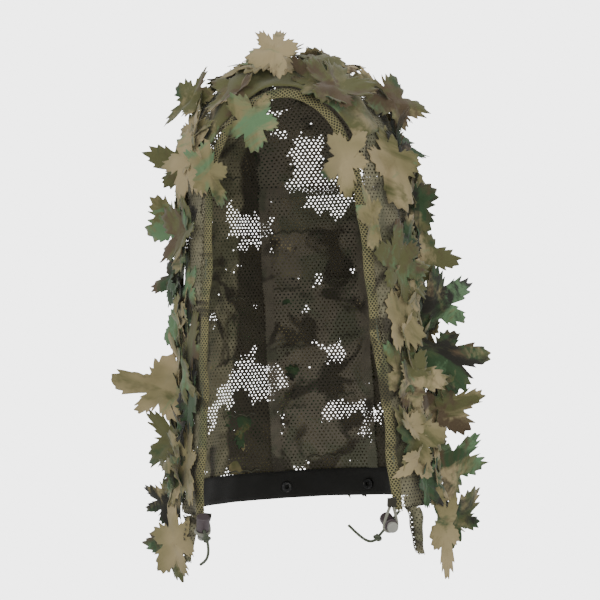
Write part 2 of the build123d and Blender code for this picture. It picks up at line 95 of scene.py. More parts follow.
def folds(points):
    """How far the cloth stands off the form at each point: soft, mostly upright folds."""
    out = np.zeros(len(points))
    for size, kx, ky, kz, phase in FOLD_WAVES:
        out += size * np.sin(2 * math.pi * (points @ np.array([kx, ky, kz])) + phase)
    return out


def raise_off(points, stand, ruffle):
    """Moves points on the form out along its normal."""
    wide, deep = half_sizes(points[:, 2])
    up = np.where(points[:, 2] > -RISE, (points[:, 2] + RISE) / RISE ** 2, 0.0)
    normal = np.stack([points[:, 0] / wide ** 2, points[:, 1] / deep ** 2, up], 1)
    normal /= np.linalg.norm(normal, axis=1)[:, None]
    return points + normal * (stand + ruffle * folds(points))[:, None]


def tube_surface(middle, stand=NET_STAND, ruffle=1.0):
    """Maps (round, up) lengths to the skin: round from the middle angle, up from the hem, over the crown."""
    def place(round_by, up_by):
        crown = np.clip((up_by - TUBE) / DOME_R, 0, 1.45)
        z = np.where(up_by < TUBE, HEM_Z + up_by, -RISE + RISE * np.sin(crown))
        share = np.where(up_by < TUBE, 1.0, np.cos(crown))
        wide, deep = half_sizes(z)
        angle = math.radians(middle) + round_by / ((wide + deep) / 2 * share)
        points = np.stack([wide * share * np.cos(angle), deep * share * np.sin(angle), z], 1)
        return raise_off(points, stand, ruffle)
    return place


def crown_surface(stand=NET_STAND, ruffle=1.0):
    """Maps (across, along) lengths to the crown: along from the face, over the top, down the back."""
    def place(across, along):
        share = np.sqrt(np.clip(1 - (across / HEAD_WIDE) ** 2, 0.01, 1))
        turn = along / ((HEAD_DEEP + RISE) / 2)
        points = np.stack([
            across, -HEAD_DEEP * share * np.cos(turn), -RISE + RISE * share * np.sin(turn),
        ], 1)
        return raise_off(points, stand, ruffle)
    return place


def surface_at(angle, z):
    """One point of the form, and its outward normal."""
    crown = max(0.0, (z + RISE) / RISE)
    share = math.sqrt(max(0.0, 1 - crown ** 2))
    wide, deep = (float(v) for v in half_sizes(z))
    point = Vector((wide * share * math.cos(angle), deep * share * math.sin(angle), z))
    normal = Vector((point.x / wide ** 2, point.y / deep ** 2, max(0.0, z + RISE) / RISE ** 2))
    return point, normal.normalized()


# ---------------------------------------------------------------- meshes
def mesh_object(name, vertices, faces, smooth=True):
    """A mesh object in the scene."""
    mesh = bpy.data.meshes.new(name)
    mesh.from_pydata([tuple(v) for v in vertices], [], [tuple(f) for f in faces])
    mesh.update()
    if smooth:
        mesh.polygons.foreach_set("use_smooth", [True] * len(mesh.polygons))
    piece = bpy.data.objects.new(name, mesh)
    bpy.context.scene.collection.objects.link(piece)
    return piece


def net(name, place, across, along, keep, pitch=0.0050, row=0.0035, strand=0.54, seed=1):
    """A net of six-sided holes over place(u, v), for u and v in two ranges, where keep(points) is true."""
    draw = np.random.default_rng(seed)
    low = (row ** 2 - pitch ** 2 / 4) / (2 * row)
    corners = np.array([
        (pitch / 2, low), (0, row - low), (-pitch / 2, low),
        (-pitch / 2, -low), (0, low - row), (pitch / 2, -low),
    ])
    rows = np.arange(math.floor(along[0] / row), math.ceil(along[1] / row) + 1)
    columns = np.arange(math.floor(across[0] / pitch), math.ceil(across[1] / pitch) + 1)
    grid_v, grid_u = np.meshgrid(rows, columns, indexing="ij")
    centres = np.stack([(grid_u + 0.5 * (grid_v % 2)).ravel() * pitch, grid_v.ravel() * row], 1)
    outer = centres[:, None, :] + corners[None]
    flat = outer.reshape(-1, 2)
    placed = place(flat[:, 0], flat[:, 1])
    kept = keep(placed).reshape(-1, 6).all(axis=1)
    centres, outer = centres[kept], outer[kept]
    size = 1 - strand * draw.uniform(0.92, 1.1, (len(centres), 1, 1))
    lean = draw.uniform(-0.03, 0.03, (len(centres), 1, 2)) * pitch
    uneven = draw.uniform(0.93, 1.05, (len(centres), 6, 1))
    inner = centres[:, None, :] + lean + corners[None] * size * uneven
    keys = np.round(outer.reshape(-1, 2) / (pitch * 0.05)).astype(np.int64)
    _, first, index = np.unique(keys, axis=0, return_index=True, return_inverse=True)
    index = index.reshape(-1, 6)
    outer_flat = outer.reshape(-1, 2)[first]
    count = len(outer_flat)
    inner_flat = inner.reshape(-1, 2)
    every = np.concatenate([outer_flat, inner_flat])
    vertices = place(every[:, 0], every[:, 1])
    inner_index = count + np.arange(len(inner_flat)).reshape(-1, 6)
    faces = np.stack([
        index, np.roll(index, -1, 1), np.roll(inner_index, -1, 1), inner_index,
    ], 2).reshape(-1, 4)
    return mesh_object(name, vertices, faces)


def sheet_grid(name, place, across, along, steps):
    """A plain sheet over place(u, v)."""
    us, vs = np.linspace(*across, steps[0]), np.linspace(*along, steps[1])
    grid_u, grid_v = np.meshgrid(us, vs, indexing="ij")
    vertices = place(grid_u.ravel(), grid_v.ravel())
    faces = [
        (i * steps[1] + j, (i + 1) * steps[1] + j, (i + 1) * steps[1] + j + 1, i * steps[1] + j + 1)
        for i in range(steps[0] - 1) for j in range(steps[1] - 1)
    ]
    return mesh_object(name, vertices, faces)


def thicken(piece, thickness, offset=0.0):
    """Gives a sheet its thickness."""
    modifier = piece.modifiers.new("thickness", "SOLIDIFY")
    modifier.thickness = thickness
    modifier.offset = offset


def tube_mesh(paths, radius, sides=8, closed=False):
    """Vertices and faces of round tubes along lists of points."""
    vertices, faces = [], []
    for path in paths:
        start = len(vertices)
        count = len(path)
        side = None
        for i, point in enumerate(path):
            ahead = path[(i + 1) % count] if closed or i < count - 1 else point
            behind = path[i - 1] if closed or i > 0 else point
            along = (ahead - behind).normalized()
            if side is None:
                side = along.orthogonal().normalized()
            side = (side - along * side.dot(along)).normalized()
            up = along.cross(side)
            for k in range(sides):
                turn = 2 * math.pi * k / sides
                vertices.append(point + side * radius * math.cos(turn) + up * radius * math.sin(turn))
        for i in range(count if closed else count - 1):
            for k in range(sides):
                a = start + i * sides
                b = start + (i + 1) % count * sides
                faces.append((a + k, a + (k + 1) % sides, b + (k + 1) % sides, b + k))
        if not closed:
            faces.append(tuple(start + k for k in reversed(range(sides))))
            faces.append(tuple(start + (count - 1) * sides + k for k in range(sides)))
    return vertices, faces


# ---------------------------------------------------------------- materials
class Nodes:
    """A short way to write a material's nodes."""

    def __init__(self, name):
        self.material = bpy.data.materials.new(name)
        self.material.use_nodes = True
        self.tree = self.material.node_tree
        self.shader = self.tree.nodes["Principled BSDF"]

    def add(self, kind, inputs=None, **settings):
        node = self.tree.nodes.new(kind)
        for key, value in settings.items():
            setattr(node, key, value)
        for key, value in (inputs or {}).items():
            self.put(value, node.inputs[key])
        return node

    def put(self, value, socket):
        if isinstance(value, bpy.types.NodeSocket):
            self.tree.links.new(value, socket)
        else:
            socket.default_value = value

    def noise(self, vector, scale, detail=2.0, roughness=0.5, distortion=0.0):
        node = self.add("ShaderNodeTexNoise", {
            "Vector": vector, "Scale": scale, "Detail": detail, "Roughness": roughness,
            "Distortion": distortion,
        })
        return node.outputs["Fac"]

    def mix(self, share, first, second):
        node = self.add("ShaderNodeMix", data_type="RGBA")
        self.put(share, node.inputs[0])
        self.put(first, node.inputs[6])
        self.put(second, node.inputs[7])
        return node.outputs[2]

    def step(self, value, edge, soft=0.02):
        node = self.add("ShaderNodeMapRange", {
            "Value": value, "From Min": edge - soft, "From Max": edge + soft, "To Min": 0.0, "To Max": 1.0,
        })
        return node.outputs["Result"]

    def math(self, operation, first, second=0.0):
        node = self.add("ShaderNodeMath", operation=operation)
        self.put(first, node.inputs[0])
        self.put(second, node.inputs[1])
        return node.outputs[0]

    def bump(self, height, strength, distance):
        node = self.add("ShaderNodeBump", {"Height": height, "Strength": strength, "Distance": distance})
        self.tree.links.new(node.outputs["Normal"], self.shader.inputs["Normal"])

    def where(self):
        return self.add("ShaderNodeTexCoord").outputs["Object"]

    def finish(self, color, roughness=0.85, sheen=0.0, specular=0.3, metallic=0.0):
        self.put(color, self.shader.inputs["Base Color"])
        self.shader.inputs["Roughness"].default_value = roughness
        self.shader.inputs["Sheen Weight"].default_value = sheen
        self.shader.inputs["Sheen Roughness"].default_value = 0.5
        self.shader.inputs["Specular IOR Level"].default_value = specular
        self.shader.inputs["Metallic"].default_value = metallic
        return self.material


TAN = (0.31, 0.25, 0.135, 1)
KHAKI = (0.18, 0.155, 0.072, 1)
OLIVE = (0.09, 0.09, 0.034, 1)
GREEN = (0.032, 0.062, 0.025, 1)
PALE_GREEN = (0.1, 0.175, 0.085, 1)
BROWN = (0.08, 0.056, 0.03, 1)
NEAR_BLACK = (0.018, 0.017, 0.012, 1)
PRINT_LEAN = 0.17  # how far one leaf's print differs from another's


def leaf_cloth(name="leaf_cloth"):
    """Woodland print on thin matte cloth; each leaf is cut from another place in the print."""
    n = Nodes(name)
    tint = n.add("ShaderNodeAttribute", attribute_name="leaf_tint").outputs["Color"]
    where = n.add("ShaderNodeVectorMath", operation="MULTIPLY_ADD")
    n.put(tint, where.inputs[0])
    where.inputs[1].default_value = (3.0, 3.0, 3.0)
    n.put(n.where(), where.inputs[2])
    spot = where.outputs[0]
    tone = n.add("ShaderNodeSeparateColor", {"Color": tint}).outputs
    color = n.mix(n.step(n.noise(spot, 9.0, 3.0, 0.6, 0.6), 0.48, 0.08), TAN, KHAKI)
    for color_of, scale, edge, lean in (
        (OLIVE, 9.0, 0.50, 0), (GREEN, 9.0, 0.54, 1), (PALE_GREEN, 13.0, 0.60, 2), (BROWN, 12.0, 0.60, 0),
        (NEAR_BLACK, 15.0, 0.62, 1),
    ):
        shifted = n.math("MULTIPLY_ADD", tone[lean], PRINT_LEAN)
        shifted.node.inputs[2].default_value = edge - PRINT_LEAN / 2
        grown = n.math("SUBTRACT", n.noise(spot, scale, 5.0, 0.66, 1.0), shifted)
        color = n.mix(n.step(grown, 0.0, 0.045), color, color_of)
        spot = n.add("ShaderNodeVectorMath", {0: spot, 1: (1.7, 2.9, 0.6)}, operation="ADD").outputs[0]
    weave = n.noise(n.where(), 1400.0, 1.0)
    crumple = n.noise(n.where(), 120.0, 4.0, 0.6)
    n.bump(n.math("ADD", n.math("MULTIPLY", weave, 0.25), crumple), 0.35, 0.0012)
    return n.finish(color, 0.8, 0.15, 0.25)


def net_cloth(name, base, second, dark, share=0.52, shade_behind=None):
    """Printed knitted net; the last argument is a depth behind which the net is painted dark, as painted
    shade for the far part of the hood.
    """
    n = Nodes(name)
    where = n.where()
    color = n.mix(n.step(n.noise(where, 14.0, 3.0, 0.6, 0.8), share, 0.04), base, second)
    color = n.mix(n.step(n.noise(where, 18.0, 3.0, 0.6, 1.0), 0.58, 0.04), color, dark)
    if shade_behind is not None:
        # painted shade: behind the given depth the net takes the dark colour, where the far part of the hood
        # is in shadow
        depth = n.add("ShaderNodeSeparateXYZ", {"Vector": where}).outputs["Y"]
        color = n.mix(n.step(depth, shade_behind, 0.002), color, dark)
    n.bump(n.noise(where, 900.0, 2.0, 0.6), 0.5, 0.0006)
    return n.finish(color, 0.85, 0.1, 0.2)


def woven(name, color, second, grain=700.0, roughness=0.8):
    """Woven tape or cloth of one colour, a little uneven."""
    n = Nodes(name)
    where = n.where()
    tone = n.mix(n.noise(where, 60.0, 3.0, 0.6), color, second)
    wave = n.add("ShaderNodeTexWave", {"Vector": where, "Scale": grain, "Distortion": 1.5, "Detail": 1.0})
    n.bump(wave.outputs["Fac"], 0.4, 0.0005)
    return n.finish(tone, roughness, 0.1, 0.25)


def cord_cover(name, color, second):
    """Braided cord: crossing waves give the plaited strands, and the grooves between them are painted darker
    as painted shade.
    """
    n = Nodes(name)
    where = n.where()
    waves = []
    for way in ((1.0, 1.0, 1.0), (1.0, -1.0, 0.6)):
        turned = n.add("ShaderNodeVectorMath", operation="MULTIPLY")
        n.put(where, turned.inputs[0])
        turned.inputs[1].default_value = way
        wave = n.add("ShaderNodeTexWave", {"Vector": turned.outputs[0], "Scale": 330.0, "Distortion": 0.6})
        waves.append(wave.outputs["Fac"])
    plait = n.math("MAXIMUM", waves[0], waves[1])
    n.bump(plait, 0.7, 0.0008)
    # painted shade: the low places of the plait take the darker colour
    return n.finish(n.mix(plait, second, color), 0.7, 0.1, 0.3)


def plastic(name, color, second):
    """Moulded plastic with a fine uneven surface."""
    n = Nodes(name)
    where = n.where()
    grain = n.noise(where, 800.0, 2.0, 0.6)
    n.bump(grain, 0.15, 0.0003)
    return n.finish(n.mix(n.noise(where, 90.0, 2.0), color, second), 0.42, 0.0, 0.45)


def metal(name, color, second, roughness):
    """Coated or bright metal, worn a little."""
    n = Nodes(name)
    where = n.where()
    worn = n.step(n.noise(where, 500.0, 4.0, 0.7), 0.62, 0.06)
    n.bump(n.noise(where, 1200.0, 2.0), 0.1, 0.0002)
    return n.finish(n.mix(worn, color, second), roughness, 0.0, 0.5, 1.0)


LEAF = leaf_cloth()
# The netting's print in a darker copy, as painted shade, for the back, crown and seam tapes inside the hood
NET_SHADED_COPY = net_cloth("net_painted_shade", (0.135, 0.119, 0.088, 1), (0.1, 0.1, 0.068, 1), (0.05, 0.044, 0.032, 1))
# This copy of the netting print is painted lighter, as painted light, where light falls on the front of the
# side walls (also used for the rolled corners), and painted dark behind 0.097 m as painted shade
NET_SIDE = net_cloth(
    "net_side", (0.19, 0.175, 0.11, 1), (0.12, 0.118, 0.07, 1), (0.05, 0.044, 0.03, 1), 0.52, 0.097,
)
NET_EDGE = net_cloth(
    "net_edge", (0.2, 0.18, 0.085, 1), (0.125, 0.13, 0.062, 1), (0.07, 0.062, 0.034, 1), 0.54,
)
NET_FACING = net_cloth(
    "facing_netting", (0.27, 0.245, 0.16, 1), (0.2, 0.19, 0.12, 1), (0.11, 0.1, 0.065, 1),
)
# Painted shade: a nearly black sheet inside the binding and the rolled corners, standing for the inner layers
# and drawcord seen through the holes in shadow
CORE_IN_SHADE = woven("core_painted_shade", (0.035, 0.035, 0.02, 1), (0.02, 0.021, 0.013, 1))
HEM_BLACK = woven("hem_black", (0.009, 0.009, 0.008, 1), (0.015, 0.0145, 0.012, 1), 900.0, 0.9)
TAPE_DARK = woven("tape_dark", (0.02, 0.018, 0.012, 1), (0.032, 0.029, 0.018, 1))
THREAD = woven("thread", (0.05, 0.05, 0.03, 1), (0.09, 0.085, 0.055, 1))
# each cord's second colour is the painted shade in the grooves of its braid
CORD_MAT = cord_cover("drawcord", (0.12, 0.14, 0.09, 1), (0.03, 0.036, 0.024, 1))
ELASTIC = cord_cover("elastic", (0.36, 0.36, 0.29, 1), (0.15, 0.15, 0.115, 1))
LOCK_BODY = plastic("lock_body", (0.05, 0.038, 0.042, 1), (0.07, 0.052, 0.055, 1))
LOCK_BUTTON = plastic("lock_button", (0.3, 0.3, 0.26, 1), (0.24, 0.24, 0.21, 1))
STEEL = metal("spring_steel", (0.6, 0.6, 0.6, 1), (0.35, 0.34, 0.33, 1), 0.3)
BLACK_METAL = metal("black_metal", (0.03, 0.03, 0.03, 1), (0.16, 0.15, 0.14, 1), 0.38)


def dress(piece, material):
    """Gives a piece one material."""
    piece.data.materials.clear()
    piece.data.materials.append(material)


def stands_for(piece, material, slot, *nodes, body="hood"):
    """Dresses a new piece and puts it in the place of CAD nodes."""
    dress(piece, material)
    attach(piece, body)
    if nodes:
        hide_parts(*nodes)


# ---------------------------------------------------------------- netting panels
BEHIND_FACE = FACE_Y + 0.003
BACK_TOP = TUBE
SIDE_TOP = TUBE + DOME_R * 1.42
HALF_ROUND = 0.34


def within_seams(points):
    """Which points lie between the two seams, with an allowance for sewing."""
    return abs(points[:, 0]) < SEAM_X + 0.003


def above_hem(points):
    """Which points clear the hem."""
    return points[:, 2] > HEM_Z + 0.0008


def everywhere(points):
    """Keeps every point."""
    return np.ones(len(points), bool)


def make_panels():
    """The netting, in its four panels."""
    back = net(
        "net_back", tube_surface(90), (-0.075, 0.075), (0, BACK_TOP + 0.004),
        lambda p: within_seams(p) & (p[:, 2] < -RISE + 0.004) & above_hem(p), strand=0.58, seed=1,
    )
    stands_for(back, NET_SHADED_COPY, "netting", "back_panel")
    crown = net(
        "net_crown", crown_surface(), (-0.065, 0.065), (0.0, 0.43),
        lambda p: within_seams(p) & (p[:, 2] > -RISE - 0.002) & (p[:, 1] > BEHIND_FACE), strand=0.58, seed=2,
    )
    stands_for(crown, NET_SHADED_COPY, "netting", "crown_panel")
    for name, middle, out in (("right", 8, 1), ("left", 172, -1)):
        panel = net(
            f"net_side_{name}", tube_surface(middle), (-HALF_ROUND, HALF_ROUND), (0, SIDE_TOP),
            lambda p, out=out: (p[:, 0] * out > SEAM_X - 0.001) & (p[:, 1] > BEHIND_FACE) & above_hem(p),
            strand=0.6, seed=3 + out,
        )
        stands_for(panel, NET_SIDE, "netting", f"side_panel_{name}")


# ---------------------------------------------------------------- the channel round the face
ARCH_TOP_Z = -0.044
ARCH_R = 0.062
ARCH_SHARE = math.radians(50)
ARCH_HALF = 0.0796
SLOPE = math.radians(4.4)
SIDE_R = (ARCH_HALF - ARCH_R * math.sin(ARCH_SHARE)) / (math.cos(SLOPE) - math.sin(ARCH_SHARE))
ARCH_CENTRE = ARCH_TOP_Z - ARCH_R
SIDE_X = (ARCH_R - SIDE_R) * math.sin(ARCH_SHARE)
SIDE_Z = ARCH_CENTRE + (ARCH_R - SIDE_R) * math.cos(ARCH_SHARE)
TOP_ARC = ARCH_R * ARCH_SHARE
SIDE_ARC = SIDE_R * (math.pi / 2 - SLOPE - ARCH_SHARE)
LEG_TOP_Z = SIDE_Z + SIDE_R * math.sin(SLOPE)
LEG = (LEG_TOP_Z - HEM_Z) / math.cos(SLOPE)
HALF_PATH = TOP_ARC + SIDE_ARC + LEG
CHANNEL_HALF_WIDE = 0.0068
CHANNEL_HALF_THICK = 0.0026


def channel_line(along):
    """Point and outward direction in the face's plane, a length from the arch's top; + is towards +X."""
    side = np.sign(along) + (along == 0)
    s = np.abs(along)
    turn = np.minimum(s, TOP_ARC) / ARCH_R
    x, z = ARCH_R * np.sin(turn), ARCH_CENTRE + ARCH_R * np.cos(turn)
    second = np.clip(s - TOP_ARC, 0, SIDE_ARC) / SIDE_R
    turn = turn + second
    on_side = s > TOP_ARC
    x = np.where(on_side, SIDE_X + SIDE_R * np.sin(turn), x)
    z = np.where(on_side, SIDE_Z + SIDE_R * np.cos(turn), z)
    leg = np.clip(s - TOP_ARC - SIDE_ARC, 0, None)
    x = x + leg * math.sin(SLOPE)
    z = z - leg * math.cos(SLOPE)
    return side * x, z, side * np.sin(turn), np.cos(turn)


def channel_surface(half_wide, half_thick, shift=0.0):
    """Maps (round, along) to the channel: round is measured round its flattened section."""
    def place(round_by, along):
        girth = 2 * math.pi * math.sqrt((half_wide ** 2 + half_thick ** 2) / 2)
        turn = 2 * math.pi * round_by / girth
        x, z, out_x, out_z = channel_line(along)
        pucker = 1 + 0.10 * np.sin(along * 2 * math.pi / 0.019 + 2 * np.sin(along * 31))
        wander = 0.0012 * np.sin(along * 38) + 0.0007 * np.sin(along * 97 + 1)
        wide = half_wide * (1 + 0.08 * np.sin(along * 57 + 2))
        flat, thick = wide * np.cos(turn), half_thick * pucker * np.sin(turn)
        out = (flat + thick) * math.sqrt(0.5) + wander + shift
        back = (flat - thick) * math.sqrt(0.5)
        return np.stack([x + out_x * out, FACE_Y + back, z + out_z * out], 1)
    return place, 2 * math.pi * math.sqrt((half_wide ** 2 + half_thick ** 2) / 2)


def make_channel():
    """The knitted binding that holds the drawcord, and its core."""
    lengths = (
        ("left", -HALF_PATH, -TOP_ARC - SIDE_ARC, "channel_left"),
        ("brow", -TOP_ARC - SIDE_ARC, TOP_ARC + SIDE_ARC, "channel_brow"),
        ("right", TOP_ARC + SIDE_ARC, HALF_PATH, "channel_right"),
    )
    for seed, (name, start, end, node) in enumerate(lengths):
        place, girth = channel_surface(CHANNEL_HALF_WIDE, CHANNEL_HALF_THICK)
        across = 9
        pitch = girth / across
        binding = net(
            f"binding_{name}", place, (0, girth - 0.5 * pitch), (start, end), everywhere,
            pitch=pitch, row=pitch * 0.66, strand=0.34, seed=20 + seed,
        )
        stands_for(binding, NET_EDGE, "edge_binding", node)
        # painted shade: a dark core inside the binding, seen through its holes
        inner, girth = channel_surface(CHANNEL_HALF_WIDE * 0.88, CHANNEL_HALF_THICK * 0.78)
        core = sheet_grid(f"binding_core_{name}", inner, (0, girth), (start, end), (17, 160))
        stands_for(core, CORE_IN_SHADE, "edge_binding")


def make_facings():
    """The net facings inside the front edges."""
    for name, middle, out in (("right", -32, 1), ("left", 212, -1)):
        facing = net(
            f"facing_net_{name}", tube_surface(middle, stand=-0.0016, ruffle=1.0), (-0.06, 0.06),
            (0.03, TUBE), lambda p, out=out: (p[:, 1] > BEHIND_FACE) & (p[:, 1] < -0.054),
            pitch=0.0042, row=0.0029, strand=0.48, seed=30 + out,
        )
        stands_for(facing, NET_FACING, "facing_net", f"facing_{name}")


# ---------------------------------------------------------------- solid bands and tapes
def brow_place(turn, back):
    """Maps an angle over the arch and a depth to the outside of the brow."""
    y = back
    share = np.sqrt(1 - (y / HEAD_DEEP) ** 2)
    points = np.stack([HEAD_WIDE * share * np.sin(turn), y, -RISE + RISE * share * np.cos(turn)], 1)
    return raise_off(points, 0.0032, 1.3)


CLOSE_NET = {"pitch": 0.0026, "row": 0.002, "strand": 0.55}  # the seam tapes' fine net


def make_bands():
    """The brow band, the black hem, and the tapes."""
    brow = sheet_grid(
        "brow_cloth", brow_place, (-math.radians(66), math.radians(66)), (FACE_Y + 0.004, -0.053), (120, 14),
    )
    paint_leaf(brow, (0.31, 0.62, 0.2))
    thicken(brow, 0.0008)
    stands_for(brow, LEAF, "camo_tape", "brow_band")
    hem = sheet_grid("hem_black_band", tube_surface(90, -0.0012, 0.7), (-0.23, 0.23), (0.0, 0.031), (160, 8))
    thicken(hem, 0.0011)
    stands_for(hem, HEM_BLACK, "hem_tape", "hem_band_back")
    for name, middle, way in (("right", 0, -1), ("left", 180, 1)):
        tape = sheet_grid(
            f"hem_tape_{name}_cloth", tube_surface(middle, -0.0012, 0.7),
            tuple(sorted((0.0, way * 0.088))), (0.0, 0.012), (40, 5),
        )
        thicken(tape, 0.0008)
        stands_for(tape, TAPE_DARK, "hem_tape", f"hem_tape_{name}")
    for name, out in (("right", 1), ("left", -1)):
        seam_turn = -out * 0.0605
        tape = net(
            f"seam_tape_{name}", tube_surface(90, -0.0012, 1.0), (seam_turn - 0.0036, seam_turn + 0.0036),
            (0.032, TUBE - 0.005), everywhere, **CLOSE_NET, seed=50 + out,
        )
        stands_for(tape, NET_SHADED_COPY, "seam_tape", f"back_seam_tape_{name}")
    crown_tape = net(
        "seam_tape_crown", tube_surface(90, -0.0012, 1.0), (-0.06, 0.06), (TUBE - 0.0036, TUBE + 0.0036),
        everywhere, **CLOSE_NET, seed=53,
    )
    stands_for(crown_tape, NET_SHADED_COPY, "seam_tape", "crown_seam_tape")


# ---------------------------------------------------------------- leaves
def islands(node):
    """The separate solids of a CAD node, each as an array of its points."""
    mesh = NODES[node].data
    points = [tuple(round(c, 6) for c in v.co) for v in mesh.vertices]
    parent = {p: p for p in points}

    def root(p):
        while parent[p] != p:
            parent[p] = parent[parent[p]]
            p = parent[p]
        return p

    for edge in mesh.edges:
        a, b = (root(points[i]) for i in edge.vertices)
        parent[a] = b
    groups = {}
    for p in sorted(parent):
        groups.setdefault(root(p), []).append(p)
    return [np.array(g) for _, g in sorted(groups.items())]


def leaf_frame(points):
    """Middle, length direction, side direction, outward normal and length of a flat CAD leaf."""
    middle = points.mean(0)
    _, _, axes = np.linalg.svd(points - middle)
    normal = Vector(axes[2])
    outward = Vector((middle[0], middle[1], max(0.0, middle[2] + RISE)))
    if normal.dot(outward) < 0:
        normal = -normal
    offsets = points - middle
    far = offsets[np.argmax(np.linalg.norm(offsets, axis=1))]
    along = Vector(far)
    length = 2 * along.length
    along = (along - normal * along.dot(normal)).normalized()
    return Vector(middle), along, normal.cross(along), normal, length


# One lobe of a leaf from notch to notch: shares of the lobe's angle and of its reach.
LOBE = [
    (0.02, 0.47), (0.09, 0.57), (0.13, 0.76), (0.21, 0.68), (0.26, 0.94), (0.34, 0.84), (0.40, 1.06),
    (0.48, 0.94),
    (0.56, 1.08), (0.64, 0.84), (0.72, 0.95), (0.78, 0.68), (0.87, 0.80), (0.93, 0.55),
]


def leaf_outline(draw, points):
    """A ragged outline of blunt lobes with teeth: radii at even angles, for a leaf about 1 long."""
    lobes = draw.choice((4, 5, 5, 6))
    spans = [draw.uniform(0.75, 1.25) for _ in range(lobes)]
    whole = sum(spans)
    angles, radii = [], []
    at = 0.0
    for span in spans:
        reach = draw.uniform(0.42, 0.66)
        flip = draw.random() < 0.5
        lobe = [(1 - a, r) for a, r in reversed(LOBE)] if flip else LOBE
        for angle, share in lobe:
            angles.append((at + span * (angle + draw.uniform(-0.025, 0.025))) / whole)
            radii.append(reach * (share + draw.uniform(-0.07, 0.07)))
        at += span
    order = np.argsort(angles)
    return np.interp(np.arange(points) / points, np.array(angles)[order], np.array(radii)[order], period=1.0)


def leaf_shape(draw, rings=6, points=156):
    """A jagged, curled leaf of length about 1 in its own plane, as vertices and faces."""
    outline = leaf_outline(draw, points)
    start = draw.uniform(0, 2 * math.pi)
    narrow = draw.uniform(0.72, 0.95)
    curl, cup = draw.uniform(-0.5, 0.5), draw.uniform(-0.3, 0.4)
    crease_turn, crease = draw.uniform(0, math.pi), draw.uniform(-0.32, 0.32)
    ripple, waves, phase = draw.uniform(0.02, 0.07), draw.choice((2, 3, 3, 4)), draw.uniform(0, 6.3)
    vertices, faces = [Vector((0, 0, 0))], []
    for ring in range(1, rings + 1):
        share = ring / rings
        for i in range(points):
            angle = 2 * math.pi * i / points
            radius = outline[i] * share
            x, y = radius * math.sin(angle + start) * narrow, radius * math.cos(angle + start)
            across = x * math.cos(crease_turn) + y * math.sin(crease_turn) - 0.06
            lift = curl * y * y + cup * x * x + ripple * (radius / 0.5) * math.sin(waves * angle + phase)
            lift += crease * (math.sqrt(across * across + 0.0016) - 0.07)
            lift += 0.014 * math.sin(21 * x + phase) * math.cos(17 * y + 2 * phase)
            vertices.append(Vector((x, y, lift)))
    for i in range(points):
        faces.append((0, 1 + i, 1 + (i + 1) % points))
    for ring in range(rings - 1):
        a, b = 1 + ring * points, 1 + (ring + 1) * points
        for i in range(points):
            j = (i + 1) % points
            faces.append((a + i, b + i, b + j, a + j))
    return vertices, faces


def paint_leaf(piece, tint, ranges=None):
    """Stores where in the print a leaf is cut; ranges gives a tint for each run of vertices."""
    layer = piece.data.color_attributes.new("leaf_tint", "FLOAT_COLOR", "POINT")
    values = np.ones((len(piece.data.vertices), 4), np.float32)
    if ranges is None:
        values[:, :3] = tint
    else:
        for start, end, color in ranges:
            values[start:end, :3] = color
    layer.data.foreach_set("color", values.ravel())


# How much of each colour of the print a leaf shows: high is little, for olive and brown, greens, pale green.
TONES = {
    "tan": (0.95, 0.9, 0.8), "olive": (0.15, 0.65, 0.6), "green": (0.45, 0.12, 0.4), "dark": (0.2, 0.0, 0.9),
    "pale": (0.8, 0.8, 0.05), "brown": (0.0, 0.8, 0.9),
}
COMMON_TONES = ("tan", "tan", "tan", "olive", "olive", "olive", "green", "green", "dark", "pale", "brown")
# Leaves that stand out at the front: x and z in millimetres, tone, and width as a share of the usual one.
NOTED = [
    (-85, -23, "brown", 1), (-141, -147, "pale", 1), (-141, -219, "dark", 0.8), (-138, -268, "pale", 0.8),
    (-161, -332, "tan", 0.85), (-145, -377, "dark", 0.8), (-156, -423, "olive", 1),
    (-163, -461, "green", 0.9),
    (-154, -506, "tan", 1), (-150, -526, "olive", 1), (107, -41, "olive", 1), (119, -90, "dark", 0.9),
    (132, -138, "tan", 0.8), (120, -181, "dark", 1), (112, -235, "olive", 1), (116, -278, "tan", 0.8),
    (148, -271, "green", 1), (160, -319, "dark", 0.8), (133, -352, "olive", 1), (114, -374, "tan", 0.7),
    (153, -400, "brown", 0.9), (129, -430, "tan", 0.7), (155, -467, "green", 0.9), (167, -507, "dark", 0.8),
    (135, -521, "tan", 0.55), (171, -533, "olive", 0.7), (1, 0, "tan", 1), (41, -13, "olive", 1),
    (-27, -73, "pale", 1), (-73, -127, "pale", 0.8), (68, -118, "tan", 1), (88, -182, "tan", 0.5),
]
NEAR = 0.032  # how near a leaf has to be to a noted one to look like it
TOP_LEAF_Z = -0.03  # the leaf above this at the brow stands up over the crown
# Bare places in the back, where the netting shows with no leaf behind it: x, z and radius in millimetres.
BARE = [
    (28, -150, 26), (2, -106, 22), (-68, -182, 24), (-75, -328, 10), (-62, -382, 15), (-105, -386, 12),
    (-107, -455, 9), (43, -320, 8), (39, -388, 15), (-2, -330, 8), (24, -232, 8),
]
# More leaves where the netting is well covered: angle in degrees, height and length in millimetres.
MORE = {
    "leaves_right_6": [(-31, -400, 58), (-29, -436, 58), (-24, -462, 54), (-16, -470, 60)],
    "leaves_back_6": [
        (62, -426, 66), (70, -448, 62), (84, -422, 62), (108, -440, 62), (122, -418, 66), (116, -462, 58),
        (78, -462, 56),
    ],
    "leaves_left_6": [(140, -424, 70), (146, -446, 66), (150, -350, 66), (143, -320, 64), (141, -404, 62)],
    "leaves_back_4": [(62, -290, 66), (118, -292, 60), (90, -284, 62)],
    "leaves_back_3": [(90, -210, 60), (62, -222, 64), (118, -216, 58)],
}


